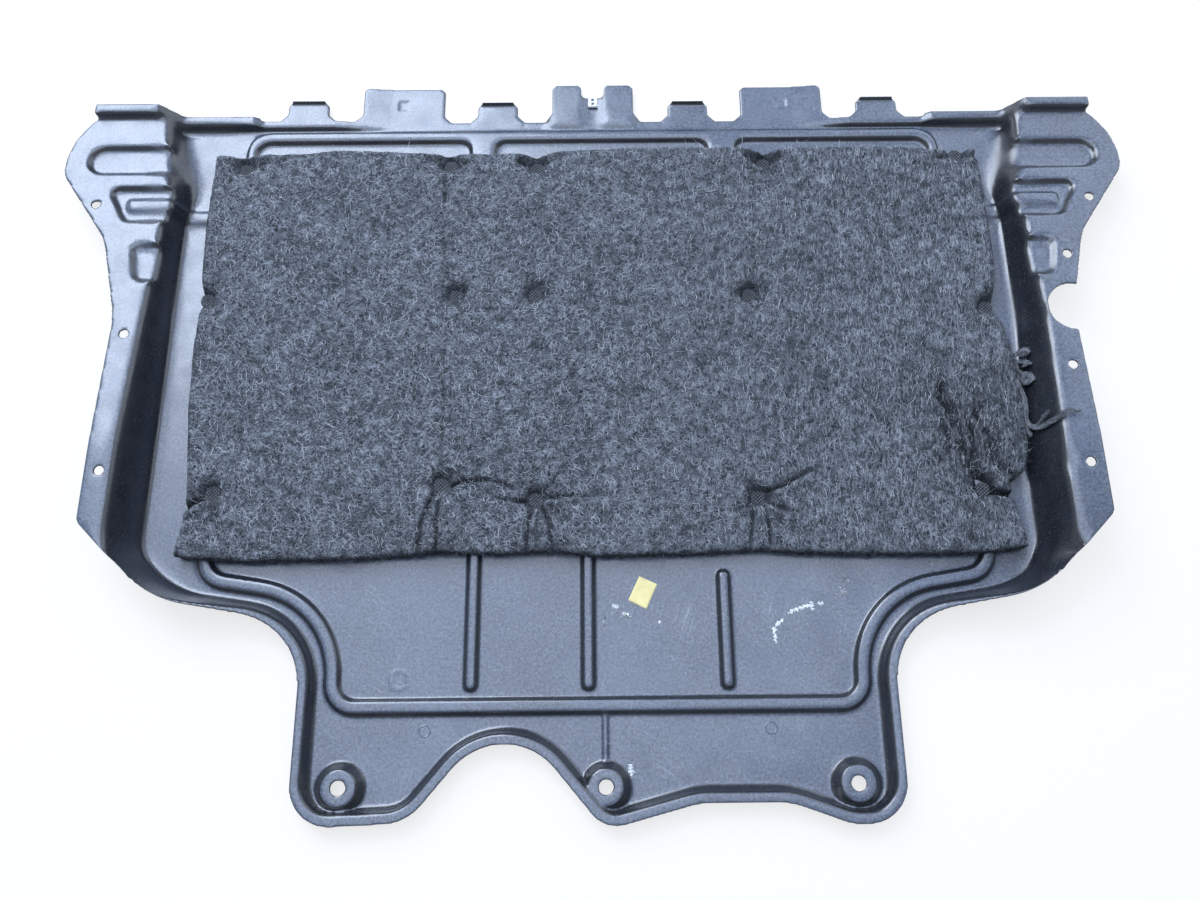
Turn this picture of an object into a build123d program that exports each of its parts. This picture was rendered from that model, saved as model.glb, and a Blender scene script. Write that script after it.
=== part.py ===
"""Engine undertray: a moulded plastic sheet with a dished floor, a felt pad and a spring clip.

X runs across the car, +Y points to the front edge with the tabs, +Z points up to the engine.
The floor's underside lies at Z = 0. Heights named below are measured from the floor's top.
"""

from build123d import *
from math import atan, cos, degrees, pi, radians, sin, tan
import os

# Sheet
WALL = 2.5
DRAFT = 18
FOOT_RADIUS = 3
EDGE_BEVEL = 1.4
UNDER_BEVEL = 0.8
SIDE_HEIGHT = 45
WING_HEIGHT = 22
RIM_HEIGHT = 12

# Plan outline: the edges from the middle of the part, then steps measured from those edges
FRONT = 304
REAR = 350
SIDE_HALF = 430
SIDE_REAR = -108
NECK_HALF = 245.5
WING_REACH = 73.5
WING_CORNER = (25, 27)
WING_CORNER_RADIUS = 72
WING_LENGTH = 68
WING_TIP_RADIUS = 28
WING_ROOT = (22, 141)
WING_ROOT_RADIUS = 60
WING_END = 222
WING_END_RADIUS = 80
SIDE_CORNER_RADIUS = 12
SHOULDER = (64, 63)
SHOULDER_RADIUS = 90
NECK_DROP = 82
NECK_RADIUS = 60
NECK_CORNER_RADIUS = 34
NOTCH_RADIUS = 23
NOTCH_BACK = 220

# Rear edge: steps from the neck's nearer side and from the rear end, with corner radii
REAR_RIGHT = [(46.5, 0, 34), (93.5, 16.5, 60), (165.5, 16.5, 60)]
REAR_MIDDLE = (5, -3, 26)
REAR_LEFT = [(169.5, 91.7, 54), (94.5, 4, 40)]

# Dish: its foot, the rim behind it and the height profiles of the flange
RIM_INSET = 12.5
SIDE_WIDTH = 38
FOOT_FLARE = 13
FOOT_FLARE_LENGTH = 79
FOOT_FLARE_RADIUS = 80
FOOT_END = 8
FOOT_END_RADIUS = 40
FOOT_CORNER_RADIUS = 34
RAMP_LEVEL = 68
RAMP_RADIUS = 400
RISE_START = 4.5
RISE_START_RADIUS = 250
RISE_END = 39
RISE_END_RADIUS = 60

# Front wall, lip and tabs
LIP_RISE = 9
LIP_LOW = 10
LIP_DEPTH = 8
LIP_OVERHANG = 3.5
LIP_LENGTH = 75
LIP_BEND = (16, 2)
LIP_BEND_RADIUS = 8
LIP_SLOPE = (6, 4)
LEDGE_HEIGHT = 5
LEDGE_DEPTH = 6
LEDGE_MARGIN = 7.5
LEDGE_RAMP = 55
OUTER_TAB_GAP = 47
INNER_TAB_X = 95
SMALL_TAB_WIDTH = 41
SMALL_TAB_LENGTH = 27
BIG_TAB_X = 189
BIG_TAB_WIDTH = 82
BIG_TAB_LENGTH = 46
CENTRE_TAB_X = 25.5
CENTRE_TAB_WIDTH = 30
CENTRE_TAB_RISE = 4
CENTRE_TAB_RAMP = 6
TAB_CORNER = 4
TAB_ROOT = 7
TAB_LIP_HEIGHT = 4
TAB_LIP_WALL = 1.6
DIMPLE_WIDTH = 12
DIMPLE_DEPTH = 1
SLIT_WIDTH = 2
SLIT_LENGTH = 7
SLIT_GAP = 6

# Floor forms
BEAD_WIDTH = 13.7
BEAD_HEIGHT = 5
BEAD_LEAN = 25
BEAD_SIDE_GAP = 55.5
BEAD_FRONT_GAP = 13
BEAD_FRONT_RADIUS = 19
BEAD_SIDE_END = 41
BEAD_SIDE_RADIUS = 22
BEAD_NECK_GAP = 26
BEAD_NECK_START = 60
BEAD_NECK_RADIUS = 78
BEAD_REAR_GAP = 93
BEAD_REAR_RADIUS = 20
DIVIDERS = [(-108, 26), (126, 29)]
DIVIDER_LENGTH = 104
DIVIDER_CORNER = 9
RIB_WIDTH = 11.8
RIB_CUT = 3
RIB_GAP = 12
RIBS = [(-105, 18), (-7.5, 18), (107.8, -37)]
STRUT_WIDTH = 3
STRUT_HEIGHT = 2
BOSS_INSET = 38.5
BOSS_BACK = 30.5
MIDDLE_BOSS = (6, 29.5)
BOSS_HEIGHT = 9.5
BOSS_BASE = 41
BOSS_TOP = 28
BOSS_HOLE = 11.5

# Wing forms: ends of each pocket behind the front edge, and its reach beyond the side at those ends
POCKET_DEPTH = 5.5
POCKET_LEAN = 20
POCKET_CORNER = 5
POCKET_INNER = 3
STADIUM_BACK = (66, 38)
STADIUM_REACH = (51, 51)
TRAPEZE_BACK = (120, 85)
TRAPEZE_REACH = (7, 26)
SHORT_BACK = (184, 148)
SHORT_REACH = (-13, -6)
FINGER_REACH = 8
FINGER_FOOT = 40
FINGER_BACK = 102
FINGER_WIDTH = 12
FINGER_RISE = 3.5
FLANGE_HOLE = 8
WING_HOLE = (36, 102.5)
RIGHT_HOLES = [(4, 165), (-12, 278)]
LEFT_HOLES = [(-13, 240)]
SIDE_HOLE = (-13, 43.5)

# Felt pad: gaps to the dish, waves of its edges and steps of its torn right edge
FELT_THICKNESS = 15
FELT_BEVEL = 3
FELT_CORNER = 5
FELT_CLEARANCE = 0.3
FELT_GROOVE_EASE = 1.5
FELT_SIDE_GAP = 26
FELT_FRONT_GAP = 38
FELT_REAR_GAP = 27
FELT_FRONT_WAVE = [(-250, 1), (-100, -4), (40, 0), (162, -5)]
FELT_REAR_WAVE = [(140, 5), (-60, 3)]
FELT_TEAR = [(0, 168, 0), (15, 266, 40), (2, 326, 0), (-20, 342, 0), (4, 354, 0)]
WELD_DIAMETER = 18
WELD_LEFT = 2.5
FRONT_WELDS = [(-138, 10), (-55, 11), (162.5, 13)]
MIDDLE_WELDS = [(-129, 150), (-54, 151), (144, 153)]
REAR_WELDS = [(-137, 334), (-52, 347), (142, 348.5)]
LEFT_WELDS = [(24, 9), (8, 150), (31, 339)]
RIGHT_WELDS = [(11, 9), (7, 167.5), (30, 340)]

# Spring clip
CHANNEL_HALF = 8
CHANNEL_SLOPE = 2.5
CHANNEL_RISE = 1.5
CHANNEL_LENGTH = 33
CLIP_SHEET = 0.8
CLIP_WIDTH = 9
CLIP_LENGTH = 11
CLIP_HOLE = 3.2
CLIP_CLEARANCE = 0.1
CLIP_FLARE = 2.5

# Worked out from the sizes above
WING_HALF = SIDE_HALF + WING_REACH
WING_FRONT_HALF = WING_HALF - WING_CORNER[0]
FOOT_HALF = SIDE_HALF - SIDE_WIDTH
FOOT_FRONT_HALF = FOOT_HALF + FOOT_FLARE
LIP_HALF = WING_FRONT_HALF + LIP_OVERHANG
LIP_INNER = FOOT_FRONT_HALF - LIP_LENGTH
OUTER_TAB_X = LIP_INNER - OUTER_TAB_GAP
BEAD_HALF = FOOT_HALF - BEAD_SIDE_GAP
BEAD_REAR = BEAD_REAR_GAP - REAR
BOSS_X = NECK_HALF - BOSS_INSET
BOSSES = [(-BOSS_X, BOSS_BACK - REAR), (MIDDLE_BOSS[0], MIDDLE_BOSS[1] - REAR), (BOSS_X, BOSS_BACK - REAR)]
FELT_HALF = FOOT_HALF - FELT_SIDE_GAP
FELT_FRONT = FRONT - FELT_FRONT_GAP
FELT_REAR = SIDE_REAR - FELT_REAR_GAP
CHANNEL_FRONT = FRONT + CHANNEL_LENGTH
RAMP_START = SIDE_REAR + RAMP_LEVEL
RAMP = atan((SIDE_HEIGHT - WING_HEIGHT) / (FRONT - RAMP_START))
LEAN = radians(DRAFT)
RUN_OUT = 40
FAR = WING_HALF + RUN_OUT
DEEP = -2 * SIDE_HEIGHT
TALL = 3 * SIDE_HEIGHT
ON_FLOOR = (Align.CENTER, Align.CENTER, Align.MIN)


def flip(corners):
    """The same corners on the other side of the middle, in reverse order."""
    return [(-x, y, r) for x, y, r in reversed(corners)]


def rounded(corners):
    """A flat face from corners (x, y, radius), each rounded by its own arc."""
    points = [(x, y) for x, y, r in corners]
    return make_face(FilletPolyline(*points, radius=[r for x, y, r in corners], close=True))


def strip(x0, x1, y0, y1):
    """A flat rectangle between two x and two y values."""
    return Pos((x0 + x1) / 2, (y0 + y1) / 2) * Rectangle(x1 - x0, y1 - y0)


def plan_outline():
    """The trimmed edge of the sheet from above: wings, sides, neck and the scalloped rear edge."""
    side = [
        (WING_FRONT_HALF, FRONT, 0),
        (WING_HALF, FRONT - WING_CORNER[1], WING_CORNER_RADIUS),
        (WING_HALF, FRONT - WING_LENGTH, WING_TIP_RADIUS),
        (SIDE_HALF + WING_ROOT[0], FRONT - WING_ROOT[1], WING_ROOT_RADIUS),
        (SIDE_HALF, FRONT - WING_END, WING_END_RADIUS),
        (SIDE_HALF, SIDE_REAR, SIDE_CORNER_RADIUS),
        (SIDE_HALF - SHOULDER[0], SIDE_REAR - SHOULDER[1], SHOULDER_RADIUS),
        (NECK_HALF, SIDE_REAR - NECK_DROP, NECK_RADIUS),
        (NECK_HALF, -REAR, NECK_CORNER_RADIUS),
    ]
    rear = [(NECK_HALF - x, y - REAR, r) for x, y, r in REAR_RIGHT]
    rear.append((REAR_MIDDLE[0], REAR_MIDDLE[1] - REAR, REAR_MIDDLE[2]))
    rear += [(x - NECK_HALF, y - REAR, r) for x, y, r in REAR_LEFT]
    return rounded(side + rear + flip(side))


def floor_outline():
    """The dish's foot: inside the rim at the rear, straight sides, flared and open at the front."""
    side = [
        (FOOT_FRONT_HALF + FOOT_END, FRONT + RUN_OUT, 0),
        (FOOT_FRONT_HALF, FRONT - FOOT_END, FOOT_END_RADIUS),
        (FOOT_HALF, FRONT - FOOT_FLARE_LENGTH, FOOT_FLARE_RADIUS),
        (FOOT_HALF, -FAR, 0),
    ]
    inside_rim = offset(outline, amount=-RIM_INSET)
    ahead = strip(-SIDE_HALF, SIDE_HALF, FRONT - SHORT_BACK[0], FRONT + 2 * RUN_OUT)
    face = (inside_rim + ahead) & rounded(side + flip(side))
    on_side = face.vertices().filter_by(lambda v: abs(abs(v.X) - FOOT_HALF) < 0.01)
    return fillet(on_side.group_by(Axis.Y)[0], FOOT_CORNER_RADIUS)


def under_flange(drop):
    """All that lies below the flange's top, lowered by drop: a ramp along Y, a rise along X."""
    split = SIDE_REAR + WALL
    ahead = FRONT + RUN_OUT
    side_view = [
        (split, DEEP, 0),
        (split, SIDE_HEIGHT, 0),
        (RAMP_START, SIDE_HEIGHT, RAMP_RADIUS),
        (ahead, WING_HEIGHT - tan(RAMP) * RUN_OUT, 0),
        (ahead, DEEP, 0),
    ]
    rear_view = [
        (FAR, DEEP, 0),
        (FAR, SIDE_HEIGHT, 0),
        (SIDE_HALF - RISE_END, SIDE_HEIGHT, RISE_END_RADIUS),
        (NECK_HALF + RISE_START, RIM_HEIGHT, RISE_START_RADIUS),
    ]
    front = extrude(Plane.YZ * rounded(side_view), amount=FAR, both=True)
    back = extrude(Plane.XZ.offset(-split) * rounded(rear_view + flip(rear_view)), amount=FAR)
    return Pos(0, 0, WALL - drop) * (front + back)


def dish(drop):
    """The hollow above the floor, grown outwards by drop: a bevel that is the chord of the foot's
    round, then the drafted wall."""
    radius = FOOT_RADIUS + drop
    turn = pi / 2 - LEAN
    grow = drop * (1 / cos(LEAN) - tan(LEAN)) - radius * tan(turn / 2)
    face = Pos(0, 0, WALL - drop) * offset(floor_face, amount=grow)
    foot = extrude(face, amount=radius * (1 - cos(turn)), taper=degrees(turn / 2) - 90)
    return foot + extrude(foot.faces().sort_by(Axis.Z)[-1], amount=TALL, taper=-DRAFT)


def dished_sheet(drop):
    """The solid below the sheet's top, offset inwards by drop: flange, drafted wall and floor."""
    block = under_flange(drop)
    hollow = dish(drop)
    sheet = block - hollow
    edge = new_edges(block, hollow, combined=sheet).filter_by_position(Axis.Y, -FAR, FRONT + RUN_OUT - WALL)
    return chamfer(edge, UNDER_BEVEL if drop else EDGE_BEVEL)


def bead_ring(base, slim, height):
    """The bead that frames the floor, with the broad strips that part its front panels."""
    neck_start = SIDE_REAR - BEAD_NECK_START
    neck_round = min(BEAD_NECK_RADIUS, 1.15 * (neck_start - BEAD_REAR - BEAD_REAR_RADIUS))
    corners = [
        (BEAD_HALF, FRONT - BEAD_FRONT_GAP, BEAD_FRONT_RADIUS),
        (BEAD_HALF, SIDE_REAR - BEAD_SIDE_END, BEAD_SIDE_RADIUS),
        (NECK_HALF - BEAD_NECK_GAP, neck_start, neck_round),
        (NECK_HALF - BEAD_NECK_GAP, BEAD_REAR, BEAD_REAR_RADIUS),
    ]
    loop = rounded(corners + flip(corners))
    half = BEAD_WIDTH / 2 - slim
    panels = offset(loop, amount=-half)
    end = FRONT - DIVIDER_LENGTH
    for x, width in DIVIDERS:
        panels -= strip(x - width / 2 + slim, x + width / 2 - slim, end, FRONT)
    if not slim:
        near_bead = panels.vertices().filter_by_position(Axis.Y, end + WALL, FRONT)
        panels = fillet(near_bead.filter_by(lambda v: abs(v.X) < NECK_HALF), DIVIDER_CORNER)
    ring = extrude(Pos(0, 0, base) * offset(loop, amount=half), amount=height, taper=BEAD_LEAN)
    return ring - extrude(Pos(0, 0, base) * panels, amount=height + WALL, taper=-BEAD_LEAN)


def ribs(base, slim, height):
    """The straight ribs of the rear floor, with their corners cut off."""
    half = RIB_WIDTH / 2 - slim
    rear = BEAD_REAR + RIB_GAP + slim
    body = Part()
    for x, ahead in RIBS:
        face = chamfer(strip(x - half, x + half, rear, SIDE_REAR + ahead - slim).vertices(), RIB_CUT)
        body += extrude(Pos(0, 0, base) * face, amount=height, taper=BEAD_LEAN)
    return body


def bosses(base, slim):
    """The three fixing bosses: cones with a flat top."""
    hump = Cone(BOSS_BASE / 2 - slim, BOSS_TOP / 2 - slim, BOSS_HEIGHT, align=ON_FLOOR)
    return Part() + [Pos(x, y, base) * hump for x, y in BOSSES]


def floor_forms(drop):
    """Every raised form of the floor, lowered by drop and slimmer where it is hollow below."""
    slim = 0.6 * drop
    base = WALL - drop
    return bead_ring(base, slim, BEAD_HEIGHT) + ribs(base, slim, BEAD_HEIGHT) + bosses(base, slim)


def wing_plane(drop):
    """The sloping plane of the wings' top, lowered by drop, with its origin on the front edge."""
    return Plane(origin=(0, FRONT, WALL + WING_HEIGHT - drop), x_dir=(1, 0, 0), z_dir=(0, sin(RAMP), cos(RAMP)))


def pocket_outlines(grow, corner):
    """The right wing's three pockets on the wing's plane, grown outwards and open to the dish."""
    inner = FOOT_HALF - POCKET_INNER
    stadium_end = (STADIUM_BACK[0] - STADIUM_BACK[1]) / 2 - 0.5
    shapes = [
        (STADIUM_BACK, STADIUM_REACH, corner * stadium_end),
        (TRAPEZE_BACK, TRAPEZE_REACH, corner * POCKET_CORNER),
        (SHORT_BACK, SHORT_REACH, corner * POCKET_CORNER),
    ]
    for (rear, front), (rear_reach, front_reach), radius in shapes:
        low = -rear / cos(RAMP) - grow
        high = -front / cos(RAMP) + grow
        yield rounded([
            (inner, low, 0),
            (SIDE_HALF + rear_reach + grow, low, radius),
            (SIDE_HALF + front_reach + grow, high, radius),
            (inner, high, 0),
        ])


def wing_pockets(drop):
    """The cutters of the recessed pockets in both wings, lowered and grown by drop."""
    body = Part()
    bed = wing_plane(POCKET_DEPTH + drop)
    for face in pocket_outlines(0.8 * drop, 0 if drop else 1):
        body += extrude(bed * face, amount=4 * POCKET_DEPTH, taper=-POCKET_LEAN)
    return body + mirror(body, Plane.YZ)


def finger_outline(grow):
    """The finger bead in plan, from its wing pocket down to the floor below the felt."""
    half = FINGER_WIDTH / 2 + grow
    y = FRONT - FINGER_BACK
    return strip(FOOT_HALF - FINGER_FOOT - grow, SIDE_HALF + FINGER_REACH + grow, y - half, y + half)


def fingers():
    """The finger beads that run from the wing pockets over the dish's edge and down its wall."""
    column = extrude(Pos(0, 0, DEEP) * finger_outline(0), amount=TALL - DEEP)
    finger = column & under_flange(POCKET_DEPTH - FINGER_RISE)
    finger -= dish(-FINGER_RISE)
    return finger + mirror(finger, Plane.YZ)


def front_line():
    """Corners of the front edge seen from ahead: high lip, bend, low lip, ledge and centre tabs."""
    ledge_end = OUTER_TAB_X - SMALL_TAB_WIDTH / 2 - LEDGE_MARGIN
    centre_end = CENTRE_TAB_X + CENTRE_TAB_WIDTH / 2
    right = [
        (LIP_HALF, WING_HEIGHT + LIP_RISE, 0),
        (FOOT_FRONT_HALF + LIP_BEND[0], WING_HEIGHT + LIP_RISE, LIP_BEND_RADIUS),
        (FOOT_FRONT_HALF - LIP_BEND[1], LIP_LOW, LIP_BEND_RADIUS),
        (LIP_INNER + LIP_SLOPE[0], LIP_LOW, 0),
        (LIP_INNER - LIP_SLOPE[1], LEDGE_HEIGHT, 0),
        (ledge_end, LEDGE_HEIGHT, 0),
        (ledge_end - LEDGE_RAMP, 0, 0),
        (centre_end + CENTRE_TAB_RAMP, 0, 0),
        (centre_end, CENTRE_TAB_RISE, 0),
        (CHANNEL_HALF + CHANNEL_SLOPE, CENTRE_TAB_RISE, 0),
        (CHANNEL_HALF, CHANNEL_RISE, 0),
    ]
    return right + flip(right)


def apron_outline():
    """The front edge in plan: lip strips, ledge, tabs with cut roots, slits and clip channel."""
    ledge_front = FRONT + LEDGE_DEPTH
    face = strip(-LIP_INNER, LIP_INNER, FRONT - WALL, ledge_front)
    tabs = [(x, SMALL_TAB_WIDTH, SMALL_TAB_LENGTH) for x in (OUTER_TAB_X, INNER_TAB_X)]
    tabs += [(BIG_TAB_X, BIG_TAB_WIDTH, BIG_TAB_LENGTH), (CENTRE_TAB_X, CENTRE_TAB_WIDTH, BIG_TAB_LENGTH)]
    for x, width, length in tabs:
        for side in (-1, 1):
            face += strip(side * x - width / 2, side * x + width / 2, FRONT, FRONT + length)
    face = chamfer(face.vertices().filter_by_position(Axis.Y, ledge_front + 1, FAR), TAB_CORNER)
    roots = face.vertices().filter_by_position(Axis.Y, ledge_front - 1, ledge_front + 1)
    outside = CENTRE_TAB_X + CENTRE_TAB_WIDTH / 2 - 1
    face = chamfer(roots.filter_by(lambda v: outside < abs(v.X) < LIP_INNER - 1), TAB_ROOT)
    face += strip(-CENTRE_TAB_X, CENTRE_TAB_X, FRONT, CHANNEL_FRONT)
    slit_step = SMALL_TAB_WIDTH / 2 + SLIT_GAP
    for x in (INNER_TAB_X + slit_step, INNER_TAB_X - slit_step):
        for side in (-1, 1):
            slit = strip(-SLIT_WIDTH / 2, SLIT_WIDTH / 2, ledge_front - SLIT_LENGTH, ledge_front + SLIT_LENGTH)
            face -= Pos(side * x) * slit
    for side in (-1, 1):
        ends = sorted((side * LIP_INNER, side * LIP_HALF))
        face += strip(*ends, FRONT - WALL, FRONT + LIP_DEPTH)
    return face


def front_edge(below):
    """The front wall, its outward lip, the ledge and the tabs, as one bent strip of sheet."""
    line = [(x, z + WALL, r) for x, z, r in front_line()]
    band = line + [(x, z - WALL, r) for x, z, r in reversed(line)]
    wall_view = line + [(-LIP_HALF, DEEP, 0), (LIP_HALF, DEEP, 0)]
    start = Plane.XZ.offset(WALL - FRONT)
    wall = extrude(start * rounded(wall_view), amount=-WALL) - below
    sheet = extrude(start * rounded(band), amount=-FAR)
    apron = sheet & extrude(Pos(0, 0, DEEP) * apron_outline(), amount=TALL - DEEP)
    lip = Box(SMALL_TAB_WIDTH - 2 * TAB_CORNER, TAB_LIP_WALL, TAB_LIP_HEIGHT + WALL, align=ON_FLOOR)
    dimple = Box(DIMPLE_WIDTH, DIMPLE_WIDTH, 2 * DIMPLE_DEPTH)
    for side in (-1, 1):
        for x, height in ((OUTER_TAB_X, LEDGE_HEIGHT), (INNER_TAB_X, 0)):
            apron += Pos(side * x, FRONT + SMALL_TAB_LENGTH - TAB_LIP_WALL / 2, height) * lip
        apron -= Pos(side * BIG_TAB_X, FRONT + (LEDGE_DEPTH + BIG_TAB_LENGTH) / 2, WALL) * dimple
    return wall + apron


def flange_holes():
    """The drills of the flange's holes, each square to the flange where it stands."""
    drill = Cylinder(FLANGE_HOLE / 2, 8 * WALL)
    wing_x = SIDE_HALF + WING_HOLE[0]
    places = [(wing_x, WING_HOLE[1]), (-wing_x, WING_HOLE[1])]
    places += [(SIDE_HALF + reach, back) for reach, back in RIGHT_HOLES]
    places += [(-SIDE_HALF - reach, back) for reach, back in LEFT_HOLES]
    drills = [wing_plane(0) * Pos(x, -back / cos(RAMP)) * drill for x, back in places]
    rear_x = SIDE_HALF + SIDE_HOLE[0]
    return drills + [Pos(x, SIDE_REAR + SIDE_HOLE[1], SIDE_HEIGHT) * drill for x in (rear_x, -rear_x)]


def make_tray():
    """The whole moulded sheet: its top form less the same form one wall thickness lower."""
    top = dished_sheet(0) + floor_forms(0) - wing_pockets(0) + fingers()
    below = dished_sheet(WALL) + floor_forms(WALL) - wing_pockets(WALL)
    trim = extrude(Pos(0, 0, DEEP) * outline, amount=TALL - DEEP)
    body = (top & trim) - below + front_edge(below)
    strut_x, strut_end = BOSSES[1]
    strut = strip(strut_x - STRUT_WIDTH / 2, strut_x + STRUT_WIDTH / 2, strut_end + BOSS_BASE / 2, BEAD_REAR)
    body += extrude(Pos(0, 0, WALL) * strut, amount=STRUT_HEIGHT)
    for x, y in BOSSES:
        body -= Pos(x, y) * Cylinder(BOSS_HOLE / 2, TALL)
    for drill in flange_holes():
        body -= drill
    return body - Pos(SIDE_HALF, FRONT - NOTCH_BACK) * Cylinder(NOTCH_RADIUS, TALL)


def felt_outline():
    """The felt's edge in plan: gently waved front and rear edges and a torn right edge."""
    corners = [(-FELT_HALF, FELT_FRONT, FELT_CORNER)]
    corners += [(x, FELT_FRONT + y, 0) for x, y in FELT_FRONT_WAVE]
    corners.append((FELT_HALF, FELT_FRONT, FELT_CORNER))
    corners += [(FELT_HALF + x, FELT_FRONT - y, r) for x, y, r in FELT_TEAR]
    corners.append((FELT_HALF, FELT_REAR, FELT_CORNER))
    corners += [(x, FELT_REAR + y, 0) for x, y in FELT_REAR_WAVE]
    return rounded(corners + [(-FELT_HALF, FELT_REAR, FELT_CORNER)])


def felt_grooves():
    """The strips below which the felt's underside gives way to beads, dividers, ribs and fingers."""
    ease = BEAD_WIDTH / 2 + FELT_GROOVE_EASE
    for x in (-BEAD_HALF, BEAD_HALF):
        yield strip(x - ease, x + ease, -FAR, FAR)
    for x, width in DIVIDERS:
        side = width / 2 + FELT_GROOVE_EASE
        yield strip(x - side, x + side, FRONT - DIVIDER_LENGTH - FELT_GROOVE_EASE, FAR)
    for x, ahead in RIBS:
        yield strip(x - ease, x + ease, -FAR, SIDE_REAR + ahead + FELT_GROOVE_EASE)
    yield finger_outline(FELT_CLEARANCE)
    yield mirror(finger_outline(FELT_CLEARANCE), Plane.YZ)


def weld_spots():
    """The places where the felt is welded to the floor, from the felt's own edges."""
    inner = FRONT_WELDS + MIDDLE_WELDS + REAR_WELDS
    spots = [(x, FELT_FRONT - back) for x, back in inner]
    spots += [(inset - FELT_HALF, FELT_FRONT - back) for inset, back in LEFT_WELDS]
    return spots + [(FELT_HALF - inset, FELT_FRONT - back) for inset, back in RIGHT_WELDS]


def make_felt():
    """The felt pad: a soft slab with grooves below it and pressed weld spots on top."""
    slab = extrude(Pos(0, 0, WALL) * felt_outline(), amount=FELT_THICKNESS)
    slab = chamfer(slab.faces().sort_by(Axis.Z)[-1].edges(), FELT_BEVEL)
    depth = BEAD_HEIGHT + FELT_CLEARANCE
    for groove in felt_grooves():
        slab -= extrude(Pos(0, 0, WALL) * groove, amount=depth)
    for x, y in weld_spots():
        on_bead = abs(abs(x) - BEAD_HALF) < BEAD_WIDTH
        left = WELD_LEFT + (depth if on_bead else 0)
        slab -= extrude(Pos(x, y, WALL + left) * RegularPolygon(WELD_DIAMETER / 2, 8), amount=FELT_THICKNESS)
    return slab


def make_clip():
    """The spring clip: thin metal folded over the channel's front edge, with a flared end."""
    top = WALL + CHANNEL_RISE + CLIP_CLEARANCE
    bottom = CHANNEL_RISE - CLIP_CLEARANCE
    fold = CHANNEL_FRONT + CLIP_CLEARANCE
    end = fold - CLIP_LENGTH
    inner = strip(end, fold, bottom, top)
    outer = strip(end, fold + CLIP_SHEET, bottom - CLIP_SHEET, top + CLIP_SHEET)
    outer = chamfer(outer.vertices().group_by(Axis.X)[-1], CLIP_SHEET)
    flare = make_face(Polyline(
        (end, top),
        (end, top + CLIP_SHEET),
        (end - CLIP_FLARE, top + CLIP_SHEET + CLIP_FLARE / 2),
        (end - CLIP_FLARE, top + CLIP_FLARE / 2),
        close=True,
    ))
    clip = extrude(Plane.YZ * (outer - inner + flare), amount=CLIP_WIDTH / 2, both=True)
    for y in (fold - CLIP_LENGTH / 3, fold - 3 * CLIP_LENGTH / 4):
        clip -= Pos(0, y, top) * Cylinder(CLIP_HOLE / 2, 2 * CLIP_SHEET + CLIP_CLEARANCE)
    return clip


outline = plan_outline()
floor_face = floor_outline()

os.makedirs("parts", exist_ok=True)
export_step(make_tray(), "parts/tray.step")
export_step(make_felt(), "parts/felt_absorber.step")
export_step(make_clip(), "parts/spring_clip.step")
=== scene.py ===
"""Engine undertray with its felt sound absorber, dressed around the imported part."""

import bpy
import bmesh
import math
import numpy as np
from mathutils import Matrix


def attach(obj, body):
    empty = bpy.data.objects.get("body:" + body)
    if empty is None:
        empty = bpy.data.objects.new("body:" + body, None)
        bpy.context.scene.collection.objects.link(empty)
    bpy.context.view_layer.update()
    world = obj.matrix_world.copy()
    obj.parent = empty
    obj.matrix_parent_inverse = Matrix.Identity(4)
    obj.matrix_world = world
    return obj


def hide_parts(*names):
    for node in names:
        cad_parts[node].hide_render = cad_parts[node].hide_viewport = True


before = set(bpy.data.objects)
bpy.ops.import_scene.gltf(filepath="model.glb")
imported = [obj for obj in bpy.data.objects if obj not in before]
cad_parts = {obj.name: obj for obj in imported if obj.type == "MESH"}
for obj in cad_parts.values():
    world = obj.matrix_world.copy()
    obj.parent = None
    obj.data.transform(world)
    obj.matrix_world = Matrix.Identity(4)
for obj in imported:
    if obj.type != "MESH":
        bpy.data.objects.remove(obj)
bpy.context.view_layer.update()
MM = 0.001


# Tray
# One press-moulded sheet of black polypropylene, 2.5 mm thick, dusty and dull where it lies flat, with a painted
# pale blue sky sheen there.
# The imported solid is copied, cut into small even cells, eased to the large rounds of a moulding and thinned.

TRAY_CELL = 1.3 * MM
TRAY_PASSES = 24
TRAY_SOFT_PASSES = 40
TRAY_RAMP_PASSES = 220
TRAY_TRIANGLES = 188000
TRAY_RIGHT_IN = 10 * MM
TRAY_FRONT_IN = 14 * MM
TRAY_RIM_TURN = math.radians(80)
TRAY_WELD_GAP = 0.002 * MM
RIM_STEP = 0.5 * MM
RIM_REACH = 8 * MM
RIM_SAMPLES = 400

# Folds that turn as sharply as a cut rim but are none: boxes in plan, from X to X and from Y to Y.
TRAY_FOLDS = np.array([
    (-450, -340, 188, 216),
    (340, 450, 188, 216),
    (-490, 490, 301, 307),
    (-4, 14, -305, -245),
]) * MM

# How far a point moves to the middle of its neighbours in one pass, as a share of the way.
EASE_RIM = 0.05
EASE_FLOOR = 0.14
EASE_WALL = 0.36
EASE_FRONT_SHARE = 0.5
EASE_SOFT = 0.5
EASE_BEAD_SHARE = 0.25

# Where each change of the tray's shape sets in, in mm: its start and the run to its full strength.
RIGHT_FROM_FRONT = (110, -200)
RIGHT_FROM_REAR = (-185, 70)
RIGHT_FROM_INSIDE = (360, 26)
RIGHT_FROM_RIM = (1.5, 6.5)
FOOT_FROM_OUTSIDE = (402, -11)
FOOT_FROM_INSIDE = (335, 40)
FOOT_FROM_REAR = (196, 60)
EASE_FROM_RIM = (0.9, 3.5)
EASE_SIDEWARDS = (335, 45)
EASE_FORWARDS = (262, 15)
WALL_FROM_INSIDE = (335, 30)
WALL_FROM_OUTSIDE = (428, -14)
WALL_FROM_REAR = (-205, 40)
ARM_BEAD = (186, 218)
ROOT_FROM_OUTSIDE = (52, -6)
ROOT_FROM_REAR = (296, 3)
ROOT_FROM_FRONT = (322, -8)
RAMP_FROM_INSIDE = (340, 20)
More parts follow.
